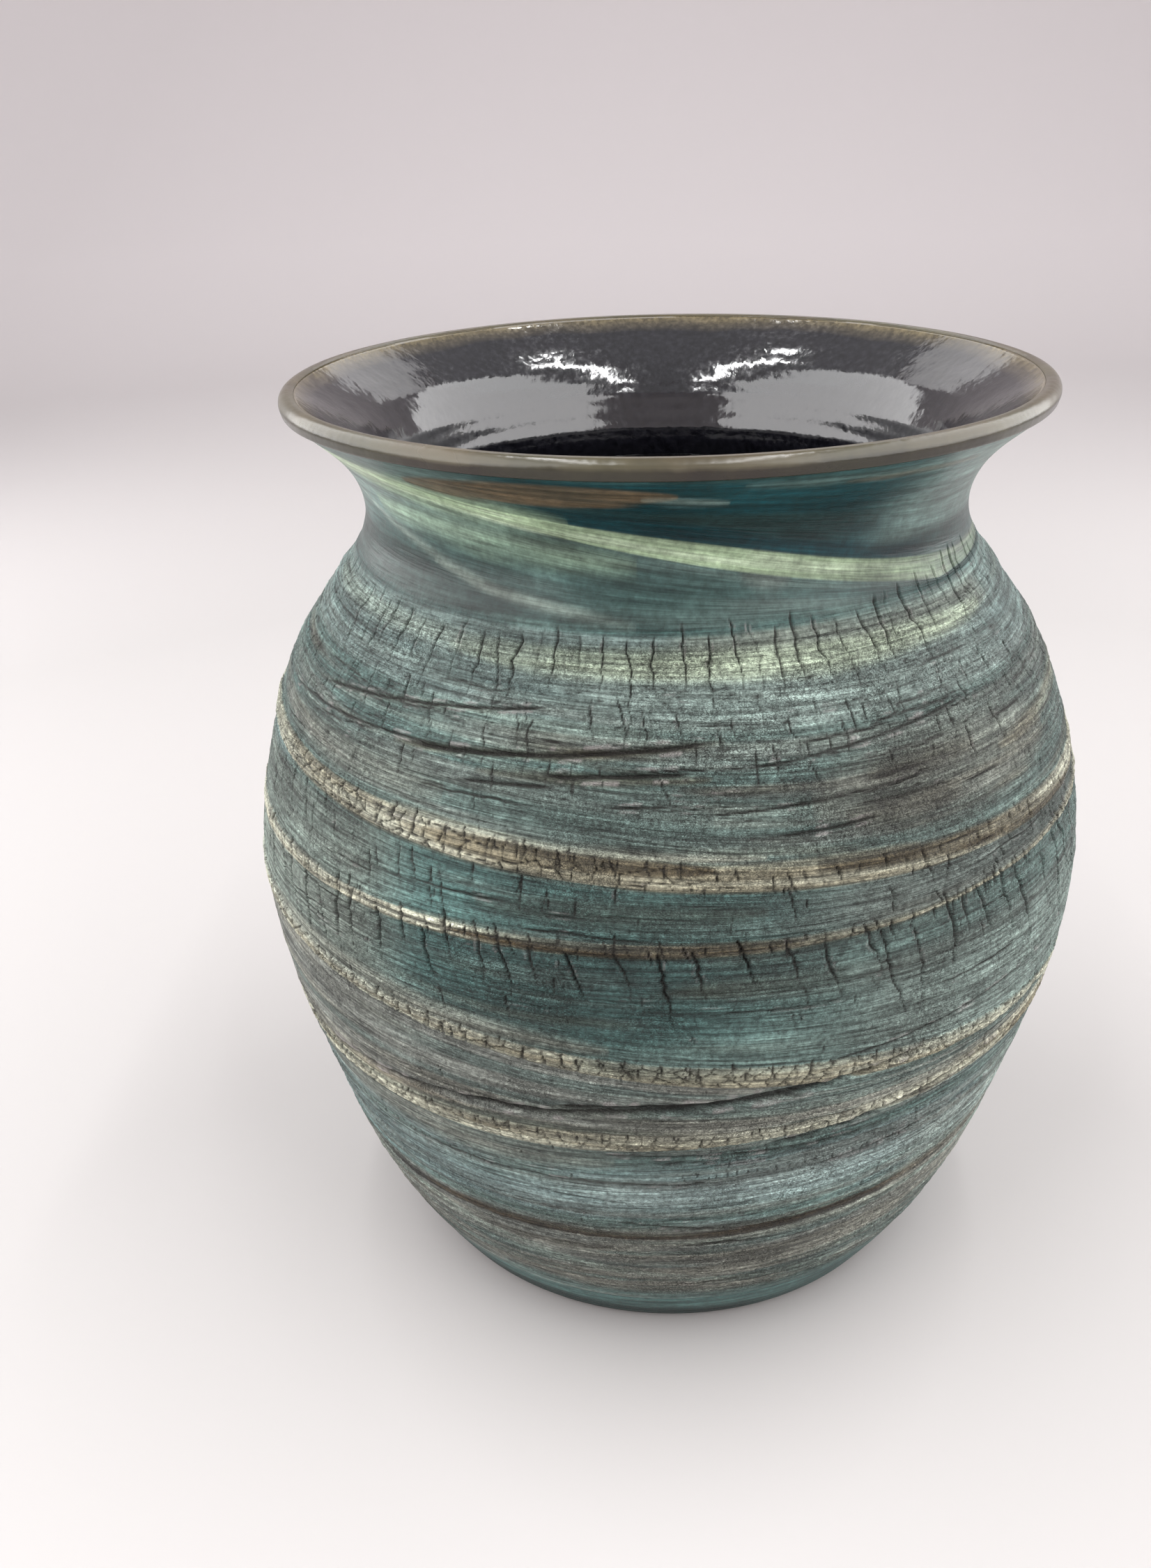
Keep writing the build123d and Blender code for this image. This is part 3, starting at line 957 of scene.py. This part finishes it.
def clay_material():
    """Matt marbled clay: streaks along the wheel's turn, cracks and crackle with painted shade,
    painted glints on crack lips, grain and lines.
    """
    material, shader, add, connect = new_material("marbled_clay")
    clay = add("Attribute", attribute_name="clay").outputs["Color"]
    crack, glint_edge, dryness, flow_up, wetness = (
        add("Attribute", attribute_name=label).outputs["Fac"]
        for label in ("crack", "raised_glint", "dry", "flow", "wet")
    )
    place = add("TexCoord").outputs["Object"]
    parts = add("SeparateXYZ", {0: place})
    # the wheel's lines: long round the vase and fine across the flow of the clay
    broad = flow_place(add, parts, flow_up, 50.0, 1.7)
    narrow = flow_place(add, parts, flow_up, 120.0, 3.6)
    lines = noise_texture(add, broad, 1.0, 3.0, 0.65)
    threads = noise_texture(add, narrow, 1.0, 2.0, 0.6)
    grain = noise_texture(add, place, 1500.0, 3.0, 0.7)
    specks = noise_texture(add, place, 620.0, 2.0)
    clouds = noise_texture(add, place, 110.0, 2.0)
    streak = scaled_range(add, lines, 0.48, 1.58, 0.28, 0.72)
    fine_streak = scaled_range(add, threads, 0.50, 1.55, 0.3, 0.7)
    streak_weight = scaled_range(add, wetness, 1.0, 0.35)
    mottle = scaled_range(add, specks, 0.78, 1.24, 0.3, 0.7)
    grit = scaled_range(add, grain, 0.50, 1.55, 0.3, 0.7)
    grit_weight = scaled_range(add, wetness, 1.0, 0.4)
    colour = mix_colour(add, 1.0, clay, streak, "MULTIPLY")
    colour = mix_colour(add, streak_weight, colour, fine_streak, "MULTIPLY")
    colour = mix_colour(add, 1.0, colour, mottle, "MULTIPLY")
    colour = mix_colour(add, grit_weight, colour, grit, "MULTIPLY")
    # crackle finer than the mesh: small tiles, and longer ones between upright cracks, sunk by bump
    # and painted dark as painted shade
    drift = specks.node.outputs["Color"]
    small = crackle(add, flow_place(add, parts, flow_up, 500.0, 0.72), drift, 0.9, 0.085)
    tall = crackle(add, flow_place(add, parts, flow_up, 270.0, 0.16), drift, 0.45, 0.035)
    patchy = scaled_range(add, clouds, 0.30, 1.0, 0.38, 0.60)
    small = maths(add, "MULTIPLY", small, 0.85)
    tall = maths(add, "MULTIPLY", tall, 0.9)
    hairlines = maths(add, "MAXIMUM", small, tall)
    hairlines = maths(add, "MULTIPLY", hairlines, maths(add, "MULTIPLY", patchy, dryness))
    # painted shade: the crack attribute and the hairlines mix the colour towards near black
    opened = maths(add, "MAXIMUM", scaled_range(add, crack, 0.0, 1.0, 0.10, 0.75), hairlines)
    colour = mix_colour(add, maths(add, "MULTIPLY", opened, 0.86), colour, (0.014, 0.012, 0.010, 1))
    # painted highlight: a pale colour on the crack lips stands in for glints
    glint = maths(add, "MULTIPLY", glint_edge, 0.40)
    colour = mix_colour(add, glint, colour, (0.42, 0.38, 0.37, 1))
    base_rough = scaled_range(add, wetness, 0.56, 0.36)
    rough = maths(add, "ADD", base_rough, scaled_range(add, grain, -0.12, 0.12))
    rough = maths(add, "SUBTRACT", rough, maths(add, "MULTIPLY", glint_edge, 0.24))
    sunk = maths(add, "SUBTRACT", grain, maths(add, "MULTIPLY", hairlines, 1.2))
    fine = bumped(add, sunk, 0.00030, scaled_range(add, wetness, 0.85, 0.08))
    relief = maths(add, "ADD", lines, maths(add, "MULTIPLY", threads, 0.45))
    wheel = bumped(add, relief, 0.0007, scaled_range(add, wetness, 0.85, 0.20), fine)
    connect(colour, rough, wheel)
    shader.inputs["IOR"].default_value = 1.5
    shader.inputs["Specular IOR Level"].default_value = 0.28
    return material


def liner_material():
    """Black glossy glaze that turns olive where it runs thin at the lip."""
    material, shader, add, connect = new_material("liner_glaze")
    place = add("TexCoord").outputs["Object"]
    drift = noise_texture(add, place, 60.0, 4.0)
    level = wandering_height(add, place, drift, 0.0004)
    thin = scaled_range(add, level, 0.0, 1.0, (height - 2.6) * MM, (height - 0.5) * MM)
    black, brown, olive = (0.005, 0.005, 0.007, 1), (0.040, 0.033, 0.022, 1), (0.085, 0.068, 0.036, 1)
    glaze = colour_ramp(add, thin, [(0.0, black), (0.55, brown), (1.0, olive)])
    pits = noise_texture(add, place, 900.0, 3.0, 0.65)
    speckle = scaled_range(add, pits, 0.6, 1.6, 0.35, 0.7)
    colour = mix_colour(add, 1.0, glaze, speckle, "MULTIPLY")
    rough = scaled_range(add, pits, 0.05, 0.20, 0.35, 0.75)
    ripple = bumped(add, noise_texture(add, place, 300.0, 2.0), 0.00022, 0.5)
    connect(colour, rough, bumped(add, pits, 0.00004, 0.5, ripple))
    shader.inputs["IOR"].default_value = 1.8
    return material


def lip_material():
    """Translucent tan and olive glaze; under the lip its roll is brown glaze, painted near black as
    painted shade.
    """
    material, _, add, connect = new_material("lip_glaze")
    place = add("TexCoord").outputs["Object"]
    drift = noise_texture(add, place, 70.0, 4.0, 0.6)
    level = wandering_height(add, place, drift, 0.0003)
    down = scaled_range(add, level, 0.0, 1.0, (height - 2.7) * MM, height * MM)
    # roll and brown, the lowest stops: brown glaze in the roll under the lip, deepened to near black
    # as painted shade
    roll, brown = (0.014, 0.009, 0.006, 1), (0.018, 0.013, 0.008, 1)
    tan, crest = (0.072, 0.063, 0.042, 1), (0.045, 0.034, 0.017, 1)
    glaze = colour_ramp(add, down, [(0.0, roll), (0.40, brown), (0.62, tan), (1.0, crest)])
    patches = noise_texture(add, place, 38.0, 3.0)
    olive = scaled_range(add, patches, 0.0, 0.45, 0.42, 0.62)
    colour = mix_colour(add, olive, glaze, (0.050, 0.050, 0.025, 1))
    mottle = scaled_range(add, drift, 0.6, 1.35, 0.3, 0.7)
    colour = mix_colour(add, 1.0, colour, mottle, "MULTIPLY")
    connect(colour, scaled_range(add, drift, 0.14, 0.34), bumped(add, drift, 0.0008, 0.5))
    return material


def bare_clay_material():
    """Unglazed stoneware of the foot ring, with grit and paler clouds."""
    material, _, add, connect = new_material("bare_clay")
    place = add("TexCoord").outputs["Object"]
    grit = noise_texture(add, place, 700.0, 4.0, 0.7)
    cloud = noise_texture(add, place, 45.0, 3.0)
    base = mix_colour(add, cloud, (0.20, 0.19, 0.155, 1), (0.30, 0.27, 0.21, 1))
    speckle = scaled_range(add, grit, 0.75, 1.2, 0.3, 0.7)
    colour = mix_colour(add, 1.0, base, speckle, "MULTIPLY")
    connect(colour, scaled_range(add, grit, 0.65, 0.9), bumped(add, grit, 0.0002, 0.6))
    return material


# ---- the pieces
marbled = clay_material()
for number in range(len(layers)):
    skin_piece(number, marbled)


def build_liner():
    """The glaze inside, with the faint rings that the thrower's fingers left."""
    inner = liner_curve(glaze_depth, 420)
    narrower, throat_height, reach = 1.6, 130.5, 5.5
    inner[:, 0] -= narrower * np.exp(-(((inner[:, 1] - throat_height) / reach) ** 2))
    back = liner_curve(0.05, 60)[::-1]
    columns = 360
    turn = np.arange(columns) / columns * TURN
    sway = []
    for r, h in inner:
        ring = 0.05 * math.sin(h * 1.15) + 0.035 * math.sin(h * 2.3 + 1)
        wobble = 0.05 * np.sin(2 * turn + 0.05 * h) + 0.03 * np.sin(5 * turn + 0.11 * h)
        fade = min(1, (height - h) / 6) * min(1, r / 20)
        sway.append((ring + wobble) * max(0, fade))
    sway += [np.zeros(columns)] * len(back)
    profile = list(inner[::-1]) + list(back[::-1])
    sway = sway[: len(inner)][::-1] + sway[len(inner) :]
    stand_for(lathe("black_liner", profile, columns, liner_material(), sway), "liner_glaze")


def build_lip():
    """The glaze that runs over the lip, with its roll on the outside."""
    start, end = -math.degrees(flare), 180 - math.degrees(flare)
    out_steps, back_steps = 40, 16
    profile = []
    for place in np.linspace(start, end, out_steps):
        a = math.radians(place)
        bead = 0.22 * math.exp(-(((place - start) / 16) ** 2))
        profile.append(lip_centre + (lip_radius + bead) * np.array([math.cos(a), math.sin(a)]))
    for place in np.linspace(end, start, back_steps):
        a = math.radians(place)
        inner = lip_radius - glaze_depth + 0.05
        profile.append(lip_centre + inner * np.array([math.cos(a), math.sin(a)]))
    columns = 720
    turn = np.arange(columns) / columns * TURN
    wave = 0.05 * np.sin(3 * turn + 0.6) + 0.04 * np.sin(7 * turn) + 0.02 * np.sin(16 * turn)
    sway = [wave] * out_steps + [np.zeros(columns)] * back_steps
    stand_for(lathe("lip_glaze_roll", profile, columns, lip_material(), sway), "lip_glaze")


build_liner()
build_lip()
body_mesh = bpy.data.objects["clay_body"].data
body_mesh.materials.clear()
body_mesh.materials.append(bare_clay_material())


# ---- floor, lights and camera
def build_stage():
    """A pale floor that curves up into a wall all round."""
    floor_radius, bend, wall = 900.0, 500.0, 1500.0
    profile = [(0.0, 0.0)] + [(r, 0.0) for r in (150, 300, 600, floor_radius)]
    for step in range(1, 17):
        a = step / 16 * math.pi / 2
        profile.append((floor_radius + bend * math.sin(a), bend - bend * math.cos(a)))
    profile.append((floor_radius + bend, wall))
    material, shader, add, connect = new_material("pale_floor")
    place = add("TexCoord").outputs["Object"]
    cloud = noise_texture(add, place, 2.5, 2.0)
    near = mix_colour(add, cloud, (0.385, 0.37, 0.365, 1), (0.415, 0.40, 0.395, 1))
    distance = add("VectorMath", {0: place}, operation="LENGTH").outputs["Value"]
    far = scaled_range(add, distance, 0.0, 1.0, 0.35, 1.15)
    colour = mix_colour(add, far, near, (0.71, 0.675, 0.68, 1))
    connect(colour)
    shader.inputs["Roughness"].default_value = 0.6
    shader.inputs["Specular IOR Level"].default_value = 0.2
    lathe("studio_floor", profile[::-1], 128, material)


def soft_light(name, place, aim, depth, breadth, radiance):
    """A rectangular soft light, depth metres long from front to back, that no camera sees."""
    light = bpy.data.lights.new(name, "AREA")
    light.shape, light.size, light.size_y = "RECTANGLE", depth, breadth
    light.energy = radiance * math.pi * depth * breadth
    holder = bpy.data.objects.new(name, light)
    holder.location = place
    way = Vector(aim) - Vector(place)
    holder.rotation_euler = way.to_track_quat("-Z", "Y").to_euler()
    holder.visible_camera = False
    bpy.context.scene.collection.objects.link(holder)


def build_lights():
    """A light tent: a dim sky, a bright wall at each side and two strips along its roof."""
    world = bpy.data.worlds.new("pale_room")
    bpy.context.scene.world = world
    world.use_nodes = True
    backdrop = world.node_tree.nodes["Background"]
    backdrop.inputs["Color"].default_value = (0.96, 0.93, 0.95, 1)
    backdrop.inputs["Strength"].default_value = 0.56
    for side, name in ((-1, "left"), (1, "right")):
        wall_x, strip_x = 0.42 * side, 0.20 * side
        soft_light(name + "_wall", (wall_x, -0.10, 0.36), (0, -0.10, 0.17), 1.10, 0.62, 3.0)
        soft_light(name + "_strip", (strip_x, -0.16, 0.80), (0, -0.16, 0.1), 0.70, 0.03, 40.0)
    soft_light("back_panel", (0, 1.28, 0.95), (0, 0, 0.2), 1.60, 0.75, 1.25)


def build_camera():
    """The view that shows the vase from the front and above, slightly turned and rolled."""
    yaw, pitch, roll = (math.radians(a) for a in (-4.01, 26.525, 1.778))
    forward = Vector(
        (math.sin(yaw) * math.cos(pitch), math.cos(yaw) * math.cos(pitch), -math.sin(pitch))
    )
    right = Vector((math.cos(yaw), -math.sin(yaw), 0))
    down = forward.cross(right)
    across = math.cos(roll) * right + math.sin(roll) * down
    below = math.cos(roll) * down - math.sin(roll) * right
    data = bpy.data.cameras.new("camera")
    data.sensor_width, data.lens = 36.0, 32.0
    data.clip_start, data.clip_end = 0.01, 20.0
    camera = bpy.data.objects.new("camera", data)
    turned = Matrix((across, -below, -forward)).transposed().to_4x4()
    camera.matrix_world = Matrix.Translation((0, -0.2261, 0.1936)) @ turned
    bpy.context.scene.collection.objects.link(camera)
    bpy.context.scene.camera = camera


build_stage()
build_lights()
build_camera()
bpy.context.scene.view_settings.view_transform = "Standard"
